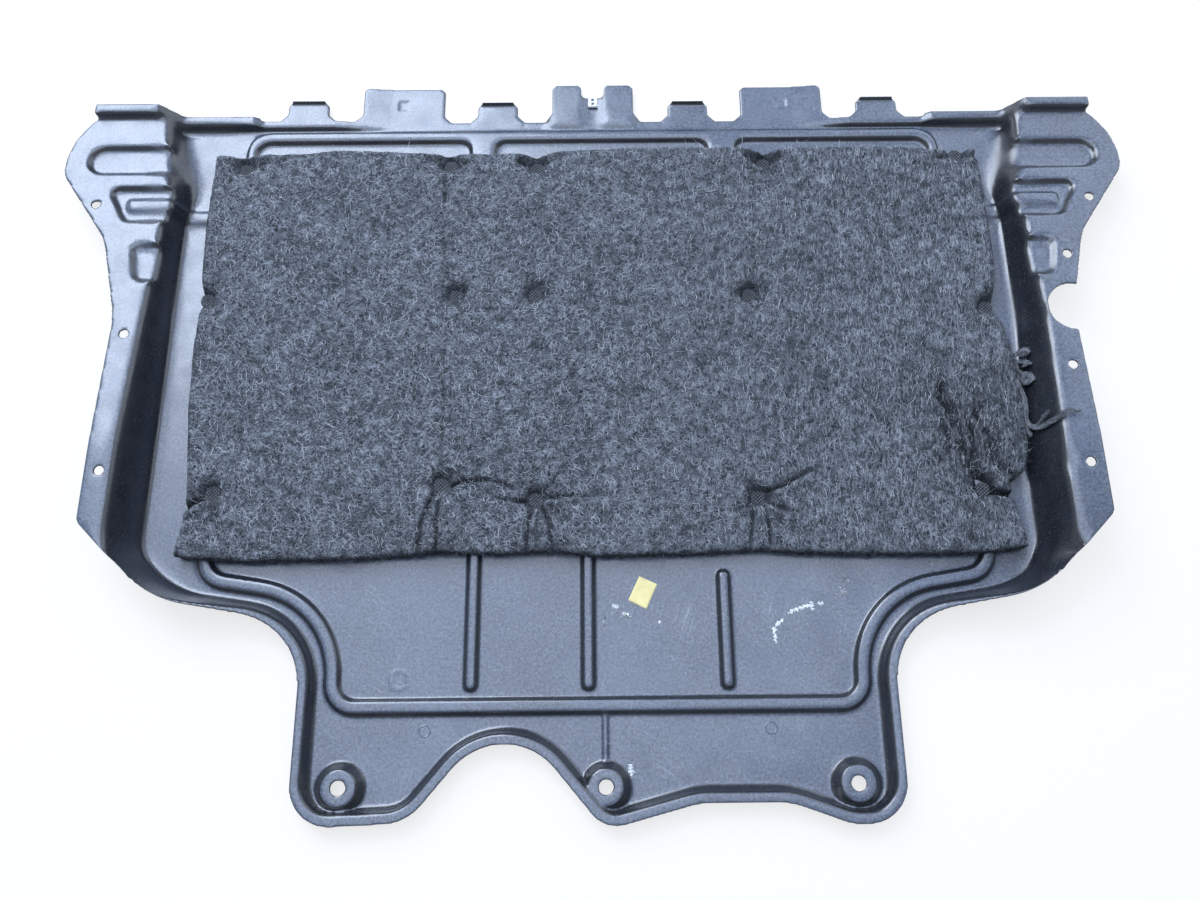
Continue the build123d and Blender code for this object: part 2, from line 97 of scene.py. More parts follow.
RAMP_FROM_OUTSIDE = (412, -10)
RAMP_FROM_REAR = (214, 40)
RAMP_FROM_FRONT = (294, -8)


def joined_copy(node, name):
    """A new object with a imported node's mesh, its loose triangles joined, and the ends of its cut rims."""
    work = bmesh.new()
    work.from_mesh(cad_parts[node].data)
    bmesh.ops.remove_doubles(work, verts=work.verts, dist=TRAY_WELD_GAP)
    sharp = [edge for edge in work.edges if edge.calc_face_angle(0) > TRAY_RIM_TURN]
    rims = np.array([[corner.co[:] for corner in edge.verts] for edge in sharp])
    mesh = bpy.data.meshes.new(name)
    work.to_mesh(mesh)
    work.free()
    piece = bpy.data.objects.new(name, mesh)
    bpy.context.scene.collection.objects.link(piece)
    return piece, rims


def applied(piece, kind, **settings):
    """Gives a piece the mesh that one modifier makes of it."""
    step = piece.modifiers.new(kind, kind)
    for setting, value in settings.items():
        setattr(step, setting, value)
    made = bpy.data.meshes.new_from_object(piece.evaluated_get(bpy.context.evaluated_depsgraph_get()))
    piece.modifiers.remove(step)
    old, piece.data = piece.data, made
    bpy.data.meshes.remove(old)


def rim_gap(points, rims):
    """How far each point is in plan from a cut rim, in half-millimetre steps up to 8 mm."""
    rings = round(RIM_REACH / RIM_STEP)
    least = points[:, :2].min(0) - RIM_REACH
    size = np.ceil((points[:, :2].max(0) + RIM_REACH - least) / RIM_STEP).astype(int)
    x, y = rims.mean(1)[:, :2].T
    folds = [(x > left) & (x < right) & (y > rear) & (y < front) for left, right, rear, front in TRAY_FOLDS]
    rims = rims[~np.any(folds, axis=0)]
    walk = np.linspace(0, 1, RIM_SAMPLES)[None, :, None]
    trail = (rims[:, :1] * (1 - walk) + rims[:, 1:] * walk).reshape(-1, 3)[:, :2]
    near = np.zeros(size, bool)
    near[tuple(((trail - least) / RIM_STEP).astype(int).T)] = True
    gap = np.where(near, 0.0, float(rings))
    for ring in range(1, rings):
        grown = near.copy()
        for axis, shift in ((0, 1), (0, -1), (1, 1), (1, -1)):
            grown |= np.roll(near, shift, axis)
        gap[grown & ~near] = ring
        near = grown
    return gap[tuple(((points[:, :2] - least) / RIM_STEP).astype(int).T)] * RIM_STEP


def rising(value, start, run):
    """0 up to the start, then straight up to 1 at the end of the run; a run below 0 goes the other way."""
    return np.clip((value - start) / run, 0, 1)


def smooth(points, ends, share, passes):
    """Moves points by a share of the way to the middle of their neighbours along the edges, pass by pass."""
    first = np.concatenate([ends[:, 0], ends[:, 1]])
    second = np.concatenate([ends[:, 1], ends[:, 0]])
    near = np.flatnonzero(share[first] > 0)
    some, number = np.unique(first[near], return_inverse=True)
    second, count = second[near], np.bincount(number)[:, None]
    for _ in range(passes):
        total = np.stack([np.bincount(number, points[second, axis], len(some)) for axis in range(3)], -1)
        points[some] += share[some, None] * (total / count - points[some])


def eased(piece, rims):
    """Eases bends into rounds: little on the floor, most on the dish's side walls and hardly at a cut rim.

    First, the right wall's rear half moves in a little, where its flange is the wider of the two, and the
    feet of both side walls move in at the front, where the walls lean more. After the first passes, the side
    walls and the roots of the centre tabs get more of them, and the front of the side walls the most, because
    they roll gently into their neighbours.
    """
    mesh = piece.data
    points, ends = np.empty(3 * len(mesh.vertices)), np.empty(2 * len(mesh.edges), np.int64)
    mesh.vertices.foreach_get("co", points)
    mesh.edges.foreach_get("vertices", ends)
    points, ends = points.reshape(-1, 3), ends.reshape(-1, 2)
    gap, x, y = rim_gap(points, rims) / MM, points[:, 0] / MM, points[:, 1] / MM
    along = rising(y, *RIGHT_FROM_FRONT) * rising(y, *RIGHT_FROM_REAR)
    along = along ** 2 * (3 - 2 * along)
    points[:, 0] -= TRAY_RIGHT_IN * along * rising(x, *RIGHT_FROM_INSIDE) * rising(gap, *RIGHT_FROM_RIM)
    reach = np.abs(x)
    foot = rising(reach, *FOOT_FROM_OUTSIDE) * rising(reach, *FOOT_FROM_INSIDE) * rising(y, *FOOT_FROM_REAR)
    points[:, 0] -= np.sign(x) * TRAY_FRONT_IN * foot
    free = rising(gap, *EASE_FROM_RIM)
    side = rising(np.abs(points[:, 0]) / MM, *EASE_SIDEWARDS)
    steep = np.maximum(side, EASE_FRONT_SHARE * rising(y, *EASE_FORWARDS))
    smooth(points, ends, np.maximum(free * (EASE_FLOOR + EASE_WALL * steep), EASE_RIM), TRAY_PASSES)
    reach, ahead = np.abs(points[:, 0]) / MM, points[:, 1] / MM
    wall = rising(reach, *WALL_FROM_INSIDE) * rising(reach, *WALL_FROM_OUTSIDE) * rising(y, *WALL_FROM_REAR)
    wall *= np.where((y > ARM_BEAD[0]) & (y < ARM_BEAD[1]), EASE_BEAD_SHARE, 1)
    root = rising(ahead, *ROOT_FROM_REAR) * rising(ahead, *ROOT_FROM_FRONT)
    root *= rising(reach, *ROOT_FROM_OUTSIDE)
    ramp = rising(reach, *RAMP_FROM_INSIDE) * rising(reach, *RAMP_FROM_OUTSIDE)
    ramp *= rising(y, *RAMP_FROM_REAR) ** 2 * rising(y, *RAMP_FROM_FRONT)
    smooth(points, ends, EASE_SOFT * free * np.maximum(wall, root), TRAY_SOFT_PASSES)
    smooth(points, ends, EASE_SOFT * free * ramp, TRAY_RAMP_PASSES)
    mesh.vertices.foreach_set("co", points.ravel())
    mesh.update()


def new_material(name, colour, roughness, **sockets):
    """A Principled material with that colour, roughness and other socket values: (material, tree, shader)."""
    material = bpy.data.materials.new(name)
    material.use_nodes = True
    shader = material.node_tree.nodes["Principled BSDF"]
    shader.inputs["Base Color"].default_value = (*colour, 1)
    shader.inputs["Roughness"].default_value = roughness
    for socket, value in sockets.items():
        shader.inputs[socket.replace("_", " ")].default_value = value
    return material, material.node_tree, shader


def feed(tree, socket, value):
    """Links a socket to another node's output, or sets it where the value is a plain number."""
    if isinstance(value, bpy.types.NodeSocket):
        tree.links.new(value, socket)
    else:
        socket.default_value = value


def sums(tree, operation, first, second=0.0):
    """One arithmetic step on two values."""
    step = tree.nodes.new("ShaderNodeMath")
    step.operation = operation
    feed(tree, step.inputs[0], first)
    feed(tree, step.inputs[1], second)
    return step.outputs[0]


def times(tree, first, second):
    """The product of two values."""
    return sums(tree, "MULTIPLY", first, second)


def plus(tree, first, second):
    """The sum of two values."""
    return sums(tree, "ADD", first, second)


def most(tree, first, second):
    """The larger of two values."""
    return sums(tree, "MAXIMUM", first, second)


def attribute(tree, name):
    """A mesh's own value at each point."""
    step = tree.nodes.new("ShaderNodeAttribute")
    step.attribute_name = name
    return step.outputs["Fac"]


def spread(tree, value, low, high):
    """0 at low and 1 at high, with a soft start and end; low may be above high."""
    step = tree.nodes.new("ShaderNodeMapRange")
    step.interpolation_type = "SMOOTHSTEP"
    feed(tree, step.inputs["Value"], value)
    step.inputs["From Min"].default_value = low
    step.inputs["From Max"].default_value = high
    return step.outputs["Result"]


def colours(tree, share, first, second):
    """The first colour where the share is 0 and the second where it is 1."""
    step = tree.nodes.new("ShaderNodeMix")
    step.data_type = "RGBA"
    feed(tree, step.inputs[0], share)
    for socket, value in ((step.inputs[6], first), (step.inputs[7], second)):
        feed(tree, socket, value if isinstance(value, bpy.types.NodeSocket) else (*value, 1))
    return step.outputs[2]


def place(tree):
    """Where a point is on the piece, in metres."""
    return tree.nodes.new("ShaderNodeTexCoord").outputs["Object"]


def laid(tree, vector, turn, scale):
    """The place turned about the vertical and stretched, so that a pattern runs in a direction."""
    step = tree.nodes.new("ShaderNodeMapping")
    step.vector_type = "TEXTURE"
    tree.links.new(vector, step.inputs["Vector"])
    step.inputs["Rotation"].default_value = (0, 0, turn)
    step.inputs["Scale"].default_value = [1 / part for part in scale]
    return step.outputs["Vector"]


def grain(tree, vector, scale, detail=2.0, bend=0.0):
    """An uneven field from 0 to 1 with that many grains to the metre."""
    step = tree.nodes.new("ShaderNodeTexNoise")
    tree.links.new(vector, step.inputs["Vector"])
    step.inputs["Scale"].default_value = scale
    step.inputs["Detail"].default_value = detail
    step.inputs["Distortion"].default_value = bend
    return step.outputs["Fac"]


def thread(tree, vector, turn, along, across, thin):
    """Thin winding lines that run one way: where a stretched field passes through its middle value."""
    field = grain(tree, laid(tree, vector, turn, (along, across, across)), 1.0, 1.0, 0.4)
    return spread(tree, sums(tree, "ABSOLUTE", sums(tree, "SUBTRACT", field, 0.5)), thin, thin * 0.2)


def relief(tree, shader, height, distance):
    """Bumps a material's surface by a field, that deep at most."""
    step = tree.nodes.new("ShaderNodeBump")
    step.inputs["Distance"].default_value = distance
    feed(tree, step.inputs["Height"], height)
    tree.links.new(step.outputs["Normal"], shader.inputs["Normal"])


def facing_up(tree, low, high):
    """0 on steep faces and 1 on level ones, from the face's own direction."""
    parts = tree.nodes.new("ShaderNodeSeparateXYZ")
    tree.links.new(tree.nodes.new("ShaderNodeNewGeometry").outputs["Normal"], parts.inputs[0])
    return spread(tree, parts.outputs["Z"], low, high)


def black_plastic():
    """Black plastic: level faces lightened by mottled road dirt and a painted pale blue sky sheen, grit on steep
    ones, specks and scratches.
    """
    material, tree, shader = new_material("black_plastic", (0.03, 0.034, 0.042), 0.35, IOR=1.85)
    spot = place(tree)
    level = facing_up(tree, 0.78, 0.99)
    fine = spread(tree, grain(tree, spot, 420, 3), 0.28, 0.74)
    cloud = plus(tree, times(tree, grain(tree, spot, 9, 4, 0.3), 0.75), times(tree, fine, 0.68))
    # Painted sheen: level faces go pale blue, partly dusty and partly a painted reflection of the sky.
    dust_and_sheen = times(tree, level, plus(tree, cloud, 0.05))
    film_and_sheen = colours(tree, dust_and_sheen, (0.016, 0.019, 0.026), (0.115, 0.145, 0.21))
    steep = sums(tree, "SUBTRACT", 0.5, times(tree, level, 0.5))
    grit = times(tree, spread(tree, grain(tree, spot, 620, 2), 0.56, 0.74), steep)
    film_and_sheen = colours(tree, grit, film_and_sheen, (0.12, 0.113, 0.108))
    specks = times(tree, spread(tree, grain(tree, spot, 950, 1), 0.62, 0.74), 0.6)
    scratch = most(tree, thread(tree, spot, 1.25, 7, 240, 0.010), thread(tree, spot, -0.6, 9, 320, 0.009))
    scratch = times(tree, scratch, spread(tree, grain(tree, spot, 14, 2), 0.52, 0.72))
    marks = times(tree, most(tree, specks, times(tree, scratch, 0.7)), level)
    paint = colours(tree, times(tree, marks, 0.62), film_and_sheen, (0.46, 0.5, 0.56))
    tree.links.new(paint, shader.inputs["Base Color"])
    tree.links.new(spread(tree, grain(tree, spot, 40, 3), -0.62, 2.7), shader.inputs["Roughness"])
    wave = plus(tree, grain(tree, spot, 14, 1), times(tree, grain(tree, spot, 700, 2), 0.02))
    relief(tree, shader, wave, 1.2 * MM)
    return material


plastic = black_plastic()
tray, tray_rims = joined_copy("tray", "undertray")
applied(tray, "REMESH", mode="VOXEL", voxel_size=TRAY_CELL)
eased(tray, tray_rims)
applied(tray, "DECIMATE", ratio=TRAY_TRIANGLES / (2 * len(tray.data.polygons)))
tray.data.shade_smooth()
tray.modifiers.new("wide_face_normals", "WEIGHTED_NORMAL").keep_sharp = False
tray.data.materials.clear()
tray.data.materials.append(plastic)
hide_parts("tray")
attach(tray, "root")


# Felt pad
# One cut piece of needled grey and black fibre felt, about 15 mm thick, laid on the dish floor.
# Fifteen welds pull it down and pucker it towards the rear; its right edge is torn and pulled out.

FELT_FLOOR = 2.5 * MM
FELT_THICK = 15 * MM
WELD_RISE = 5 * MM
FELT_WIDTH = 735 * MM
FELT_DEPTH = 398 * MM
FELT_EDGE_DROP = 1.5 * MM
FELT_EDGE_ROUND = 2.6 * MM
FELT_LEAST = 1.2 * MM
PIT_FLAT = 6 * MM
PIT_REACH = 5.2 * MM
PIT_SHADE = 0.75
CREASE_DEEPEN = 1.5
CREASE_SWELL = 0.3
CREASE_DARK = 4.5 * MM
GOUGE_DARK = 3.6 * MM
TORN_PLACE_SHADE = 0.4
SIDE_SHADE = 0.55

# Each size of lump: its height, the shortest and longest wave in mm, the count of waves and the seed.
FELT_LUMPS = [(0.75, 40, 120, 24, 3), (0.28, 9, 26, 40, 4), (0.16, 3.5, 8, 50, 5)]

# The grid of the upper face in mm: from, up to and in steps of, finer at the creases and the tear.
FELT_COLUMNS = [(6, 200, 1.7), (200, 580, 1.2), (580, 640, 1.7), (640, 729, 1.0)]
FELT_ROWS = [(6, 82, 1.1), (82, 392, 1.9)]

# Each ring of the cut side: how far down it lies, from 0 to 1, how far it stands out and how ragged it is.
FELT_RINGS = [(0.2, 0.5, 0.3), (0.45, 0.8, 0.5), (0.75, 0.5, 0.6), (1.0, -0.8, 0.4)]

# The cut edges in plan and the welds, in mm; each edge runs from left to right or from the rear to the front.
FELT_REAR = [
    (-359, -130), (-347, -132.6), (-300, -135.5), (-250, -135), (-200, -134), (-152, -131),
    (-137, -129), (-84, -131), (-60, -130), (-37, -129), (0, -133.5), (50, -133),
    (100, -131.5), (139, -129.5), (179, -132.5), (231, -134), (280, -134.5), (326, -133.5),
    (347, -132), (366.5, -129),
]
FELT_FRONT = [
    (-364.5, 263), (-345, 262.5), (-310, 265), (-250, 267.5), (-200, 267.5), (-150, 263),
    (-110, 265), (-80, 264), (-54, 261), (-30, 265), (0, 268), (80, 269.5),
    (140, 267.5), (164, 263), (190, 267.5), (250, 268.5), (300, 268), (345, 264),
    (371, 265.5),
]
FELT_LEFT = [
    (-359, -130), (-356.8, -115), (-353.5, -94), (-352.5, -86), (-354.5, -68), (-358, -36),
    (-361, 0), (-363, 37), (-364.5, 64), (-363, 98), (-362.5, 112), (-364, 127),
    (-365.5, 148), (-366.5, 185), (-365.5, 227), (-364.5, 263),
]
FELT_RIGHT = [
    (366.5, -129), (364.5, -112), (362.5, -98), (361, -86), (356, -84.5), (360, -81),
    (360.5, -70), (366, -68), (373, -62), (377.5, -52), (379.5, -34), (380.3, -10),
    (380.6, 20), (379.4, 42), (377, 58), (373, 77), (369, 90), (367.5, 99),
    (369, 110), (372, 124), (373.5, 150), (373.7, 200), (372.5, 240), (371, 265.5),
]
FELT_WELDS = np.array([
    (-337.6, 252.7), (-138.6, 254.2), (-54.9, 251.1), (165.3, 254.2), (354.6, 263),
    (-360, 112.4), (-128.5, 114), (-54.9, 114), (144, 113), (363.1, 98),
    (-334.4, -74.3), (-135.5, -68.9), (-52.3, -83.3), (140.7, -82.8), (337.6, -77),
]) * MM

# Each crease: its line, its half width and its depth at both ends, in mm.
FELT_CREASES = [
    ([(-126, -72), (-116, -68), (-97, -67), (-84, -69.5), (-73, -74)], 1.7, 3.2, 1.5),
    ([(-138, -78), (-145, -88), (-150, -105), (-152, -132)], 1.9, 3.4, 1.6),
    ([(-135.5, -79), (-136.5, -100), (-136, -132)], 1.6, 2.6, 2.6),
    ([(-60, -86), (-72, -85.5), (-88, -84)], 1.6, 3.2, 0.8),
    ([(-43, -84), (-25, -82), (0, -83)], 1.6, 2.6, 0.4),
    ([(-47, -78), (-40, -72), (-33, -63)], 1.6, 2.4, 0.5),
    ([(-55, -92), (-58.5, -108), (-59.5, -131)], 1.7, 3.2, 2.2),
    ([(-51, -93), (-50, -131)], 1.5, 2.0, 0.8),
    ([(-46, -92), (-40, -105), (-37.5, -130)], 1.7, 3.2, 2.2),
    ([(-42, -89), (-33, -97), (-24, -104)], 1.6, 2.8, 0.4),
    ([(148, -79), (166, -73), (184, -62), (197, -57)], 1.7, 3.4, 0.6),
    ([(132, -92), (118, -97)], 1.7, 2.6, 0.4),
    ([(136, -92), (133, -112), (131.5, -131)], 1.7, 3.0, 2.0),
    ([(148, -90), (163, -96), (178, -102)], 1.7, 2.8, 0.4),
    ([(134, -78), (128, -62)], 1.8, 2.2, 0.3),
    ([(145, -92), (148, -110), (149, -131)], 1.6, 2.4, 1.6),
    ([(-339, -79), (-350, -88), (-356, -91)], 2.0, 4.0, 4.0),
    ([(-330, -83), (-325, -100), (-322, -112)], 1.7, 2.0, 0.3),
    ([(-136, 55), (-134.5, 0), (-135, -60)], 1.4, 1.2, 1.4),
    ([(-142, 240), (-141, 180), (-136, 128)], 1.6, 1.6, 0.8),
    ([(157, 245), (151, 215)], 1.7, 1.8, 0.3),
    ([(-355, 256), (-337, 249), (-318, 257)], 2.4, 2.5, 2.0),
    ([(-160, 258), (-139, 250), (-115, 257)], 2.4, 2.2, 1.6),
    ([(-72, 256), (-55, 248), (-38, 257)], 2.4, 2.4, 2.0),
    ([(148, 258), (165, 250), (182, 258)], 2.4, 2.6, 2.2),
    ([(335, 256), (354, 259), (372, 258)], 2.2, 2.6, 2.2),
]

# Each gouge of the torn place, given the same way.
FELT_GOUGES = [
    ([(298, 62), (299, 46)], 1.6, 2.4, 1.6),
    ([(294, 22), (298, 11)], 3.0, 2.2, 1.6),
    ([(304, 39), (309, 30)], 2.0, 1.6, 1.0),
    ([(310, 19), (308.5, 7), (314, -3), (318, -18)], 3.2, 5.5, 6.5),
    ([(303, -4), (308, -22), (311, -38)], 2.0, 1.6, 3.0),
    ([(337, -10), (340, -20)], 2.6, 3.2, 3.6),
    ([(343, -25), (352, -38)], 1.8, 4.2, 2.4),
    ([(346, -39), (351, -57)], 3.4, 3.4, 3.6),
    ([(328, -58), (334, -73)], 4.6, 3.4, 5.0),
    ([(334, -75), (346, -81), (362, -85)], 2.2, 5.5, 9.0),
    ([(357, -60), (366, -67)], 3.0, 2.0, 4.5),
    ([(321, -24), (323, -47)], 2.4, 4.2, 2.2),
    ([(331, -22), (331, -48)], 2.4, 3.6, 2.2),
]


def along_line(points, places):
    """Places from 0 to 1 along a run of points in mm, each coordinate read off the length walked so far."""
    points = np.asarray(points, float) * MM
    walked = np.concatenate([[0], np.cumsum(np.linalg.norm(np.diff(points, axis=0), axis=1))])
    return np.stack([np.interp(places * walked[-1], walked, part) for part in points.T], -1)


def near_line(x, y, points):
    """How far each place is from a run of points in mm, and how far along the run that is, from 0 to 1."""
    points = np.asarray(points, float) * MM
    gap, share, runs = np.full(x.shape, 9.0), np.zeros(x.shape), len(points) - 1
    for run in range(runs):
        start, step = points[run], points[run + 1] - points[run]
        part = np.clip(((x - start[0]) * step[0] + (y - start[1]) * step[1]) / (step @ step), 0, 1)
        away = np.hypot(x - start[0] - part * step[0], y - start[1] - part * step[1])
        share = np.where(away < gap, (run + part) / runs, share)
        gap = np.minimum(gap, away)
    return gap, share


def waves(x, y, shortest, longest, count, seed):
    """An uneven field about zero: sines of many lengths and directions added up, from a fixed seed."""
    draw = np.random.default_rng(seed)
    total = np.zeros(np.broadcast(x, y).shape)
    for _ in range(count):
        turn, shift = draw.uniform(0, 2 * np.pi, 2)
        length = shortest * (longest / shortest) ** draw.uniform()
        total += np.sin((x * np.cos(turn) + y * np.sin(turn)) * 2 * np.pi / length + shift)
    return total / math.sqrt(count / 2)


def felt_plan(u, v):
    """Where (u, v) lies in plan: opposite cut edges blended both ways, less the blend of the four corners."""
    rear, front = along_line(FELT_REAR, u), along_line(FELT_FRONT, u)
    left, right = along_line(FELT_LEFT, v), along_line(FELT_RIGHT, v)
    u, v = u[..., None], v[..., None]
    ends = np.array([FELT_REAR[0], FELT_REAR[-1], FELT_FRONT[0], FELT_FRONT[-1]]) * MM
    corners = (1 - v) * ((1 - u) * ends[0] + u * ends[1]) + v * ((1 - u) * ends[2] + u * ends[3])
    return (1 - v) * rear + v * front + (1 - u) * left + u * right - corners


def felt_top(x, y, edge):
    """Height of the felt: its thickness with soft lumps, less a rounded edge, pits, creases and gouges.

    A weld's pit is full depth to 6 mm and dies away over some 12 mm more. A crease is a bell-shaped groove
    with a low swell beside it. Gives the height, and the painted shade of a pit, crease, gouge or the place
    about the tear, up to 1.
    """
    height = FELT_FLOOR + FELT_THICK - FELT_EDGE_DROP * (1 - np.clip(edge / FELT_EDGE_ROUND, 0, 1)) ** 2
    for rise, shortest, longest, count, seed in FELT_LUMPS:
        height = height + rise * MM * waves(x, y, shortest * MM, longest * MM, count, seed)
    # Painted shade, up to 1: darker in the weld pits and creases, in the gouges and about the torn place.
    shade = np.zeros(x.shape)
    for number, (wx, wy) in enumerate(FELT_WELDS):
        away, turn = np.hypot(x - wx, y - wy), np.arctan2(y - wy, x - wx)
        reach = PIT_REACH * (1 + 0.22 * np.cos(3 * turn + number) + 0.15 * np.cos(5 * turn + 2 * number))
        pit = np.exp(-(np.clip(away - PIT_FLAT, 0, None) / reach) ** 1.1)
        height = height * (1 - pit) + (FELT_FLOOR + WELD_RISE) * pit
        shade = np.maximum(shade, PIT_SHADE * pit)
    room = np.clip((height - FELT_FLOOR - WELD_RISE) / (7 * MM), 0, 1)
    for line, half, first, last in FELT_CREASES:
        away, share = near_line(x, y, line)
        deep = CREASE_DEEPEN * (first + (last - first) * share) * MM * room
        groove = np.exp(-(away / (half * MM)) ** 2)
        height += deep * (CREASE_SWELL * np.exp(-((away / (half * MM) - 3.2) / 1.6) ** 2) - groove)
        shade = np.maximum(shade, groove * deep / CREASE_DARK)
    torn = np.zeros(x.shape)
    for line, half, first, last in FELT_GOUGES:
        away, share = near_line(x, y, line)
        torn = np.maximum(torn, (first + (last - first) * share) * MM * np.exp(-(away / (half * MM)) ** 2))
    around = np.exp(-((x - 325 * MM) / (24 * MM)) ** 4 - ((y + 25 * MM) / (46 * MM)) ** 4)
    pulled = waves(x, y * 0.12, 1.8 * MM, 5 * MM, 40, 6)
    torn = torn + around * MM * np.clip(0.9 * pulled + 0.3, 0, 3)
    # Painted shade: a soft dark zone about the torn place, on top of the darkened gouges.
    torn_place_shade = TORN_PLACE_SHADE * np.exp(-((x - 336 * MM) / (40 * MM)) ** 4 - ((y + 26 * MM) / (66 * MM)) ** 4)
    shade = np.clip(shade + torn_place_shade + torn / GOUGE_DARK, 0, 1)
    return np.maximum(height - torn, FELT_FLOOR + FELT_LEAST), shade


def mesh_piece(name, points, faces, material):
    """A new smooth object from points, faces and one material."""
    mesh = bpy.data.meshes.new(name)
    mesh.from_pydata(points, [], faces)
    mesh.shade_smooth()
    mesh.materials.append(material)
    piece = bpy.data.objects.new(name, mesh)
    bpy.context.scene.collection.objects.link(piece)
    return piece


def grid_faces(rows, columns, first=0):
    """Corner numbers of the squares between rows and columns of points, upper side out."""
    corner = first + np.arange(rows - 1)[:, None] * columns + np.arange(columns - 1)[None]
    return np.stack([corner, corner + 1, corner + columns + 1, corner + columns], -1).reshape(-1, 4)


def felt_mesh(material):
    """The pad: an upper face on a grid, finer where creased or torn, rings of cut side and a flat base."""
    rim = np.array([0, 0.8, 1.8, 3, 4.4]) * MM
    across = [np.arange(*run) * MM for run in FELT_COLUMNS]
    ahead = [np.arange(*run) * MM for run in FELT_ROWS]
    u = np.concatenate([rim, *across, FELT_WIDTH - rim[::-1]]) / FELT_WIDTH
    v = np.concatenate([rim, *ahead, FELT_DEPTH - rim[::-1]]) / FELT_DEPTH
    u, v = np.meshgrid(u, v)
    rows, columns = u.shape
    plan = felt_plan(u, v)
    edge = np.minimum(np.minimum(u, 1 - u) * FELT_WIDTH, np.minimum(v, 1 - v) * FELT_DEPTH)
    height, shade = felt_top(plan[..., 0], plan[..., 1], edge)
    top = np.dstack([plan, height]).reshape(-1, 3)
    number = np.arange(rows * columns).reshape(rows, columns)
    loop = np.concatenate([number[0, :-1], number[:-1, -1], number[-1, :0:-1], number[:0:-1, 0]])
    brink = top[loop]
    way = np.roll(brink, -1, 0) - np.roll(brink, 1, 0)
    out = np.stack([way[:, 1], -way[:, 0]], -1) / np.linalg.norm(way[:, :2], axis=1)[:, None]
    walk = np.arange(len(loop)) * 1.4 * MM
    rings = [top]
    for drop, bulge, rough in FELT_RINGS:
        ring = brink.copy()
        ragged = bulge + rough * waves(walk, walk * 0 + drop, 4 * MM, 20 * MM, 30, int(10 * drop))
        ring[:, :2] += out * ragged[:, None] * MM
        ring[:, 2] = brink[:, 2] + (FELT_FLOOR - brink[:, 2]) * drop
        rings.append(ring)
    faces = grid_faces(rows, columns).tolist()
    upper = loop
    for ring in range(len(FELT_RINGS)):
        lower = rows * columns + ring * len(loop) + np.arange(len(loop))
        faces += np.stack([upper, lower, np.roll(lower, -1), np.roll(upper, -1)], -1).tolist()
        upper = lower
    faces.append(upper[::-1].tolist())
    piece = mesh_piece("felt_pad", np.concatenate(rings), faces, material)
    # Painted shade: the cut sides are darkened by a fixed share, along with the painted shade of the upper face.
    dark = np.concatenate([shade.ravel(), np.full(len(FELT_RINGS) * len(loop), SIDE_SHADE)])
    piece.data.attributes.new("fold_shade", "FLOAT", "POINT").data.foreach_set("value", dark)
    return piece


def felt_finish():
    """Matted felt: light fibres as thin curling lines, upright to the right, in clouds on near-black wool."""
    material, tree, shader = new_material("grey_felt", (0.1, 0.12, 0.15), 0.95, Specular_IOR_Level=0.2)
    spot = place(tree)
    parts = tree.nodes.new("ShaderNodeSeparateXYZ")
    tree.links.new(spot, parts.inputs[0])
    rightward = times(tree, spread(tree, parts.outputs["X"], -0.05, 0.26), 0.5)
    curl = most(tree, thread(tree, spot, 0.6, 240, 330, 0.06), thread(tree, spot, -0.5, 210, 360, 0.06))
    curl = times(tree, curl, sums(tree, "SUBTRACT", 1.0, rightward))
    upright = most(tree, thread(tree, spot, 1.45, 90, 420, 0.07), thread(tree, spot, 1.75, 120, 380, 0.06))
    upright = times(tree, upright, plus(tree, rightward, 0.4))
    cloud = spread(tree, grain(tree, spot, 110, 5, 0.4), 0.28, 0.76)
    fibre = times(tree, most(tree, curl, upright), plus(tree, times(tree, cloud, 0.48), 0.13))
    fleck = spread(tree, grain(tree, spot, 620, 2), 0.3, 0.75)
    fleck = times(tree, fleck, plus(tree, times(tree, cloud, 0.05), 0.09))
    light = times(tree, plus(tree, fibre, fleck), plus(tree, grain(tree, spot, 26, 3), 0.5))
    wool = colours(tree, light, (0.0085, 0.01, 0.013), (0.4, 0.445, 0.52))
    # Painted shade: the felt's colour goes to near black by the fold_shade in pits, creases, gouges, about the
    # tear and on the cut sides.
    wool = colours(tree, times(tree, attribute(tree, "fold_shade"), 0.85), wool, (0.012, 0.013, 0.016))
    tree.links.new(wool, shader.inputs["Base Color"])
    relief(tree, shader, plus(tree, light, times(tree, cloud, 0.3)), 0.9 * MM)
    return material


felt = felt_mesh(felt_finish())
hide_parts("felt_absorber")
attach(felt, "root")


# Loose fibres
# Single light and dark fibres that stand out of the felt's face and its cut edges, and pulled-out
# hanks that hang from the torn right edge over the dish wall.

FIBRE_COUNT = 22000
FRINGE_COUNT = 2600
FIBRE_STEPS = 5
FIBRE_OFF_WELD = 10 * MM
FRINGE_STEPS = 4
HANK_STEPS = 30
HANK_HALF = 0.15 * MM

# Each hank: its line in mm, its count of fibres and its half thickness in mm.
HANKS = [
    ([(378, 22, 15), (382, 12, 13), (384, 2, 12), (383, -12, 12), (384, -20, 14), (388, -26, 22),
      (393, -25, 36), (399, -22, 49.5), (406, -19, 50), (411, -21, 50), (416, -19, 50)], 230, 2.4),
    ([(378, 24, 14), (383, 8, 12), (382, -8, 11), (383, -24, 12), (386, -31, 15)], 130, 2.4),
    ([(379, 46, 14), (384, 50, 12), (389, 53, 14), (392, 50, 18), (388, 47, 14), (384, 48, 13)], 150, 2.4),
    ([(379, 38, 14), (384, 42, 12), (389, 41, 14), (391, 38, 17), (387, 36, 13)], 130, 2.2),
    ([(380, 32, 14), (385, 30, 12), (390, 28, 15), (392, 23, 19), (387, 20, 14), (384, 25, 13),
      (389, 30, 16)], 190, 2.4),
    ([(387, -24, 20), (391, -17, 31), (393, -14, 38)], 40, 1.8),
]


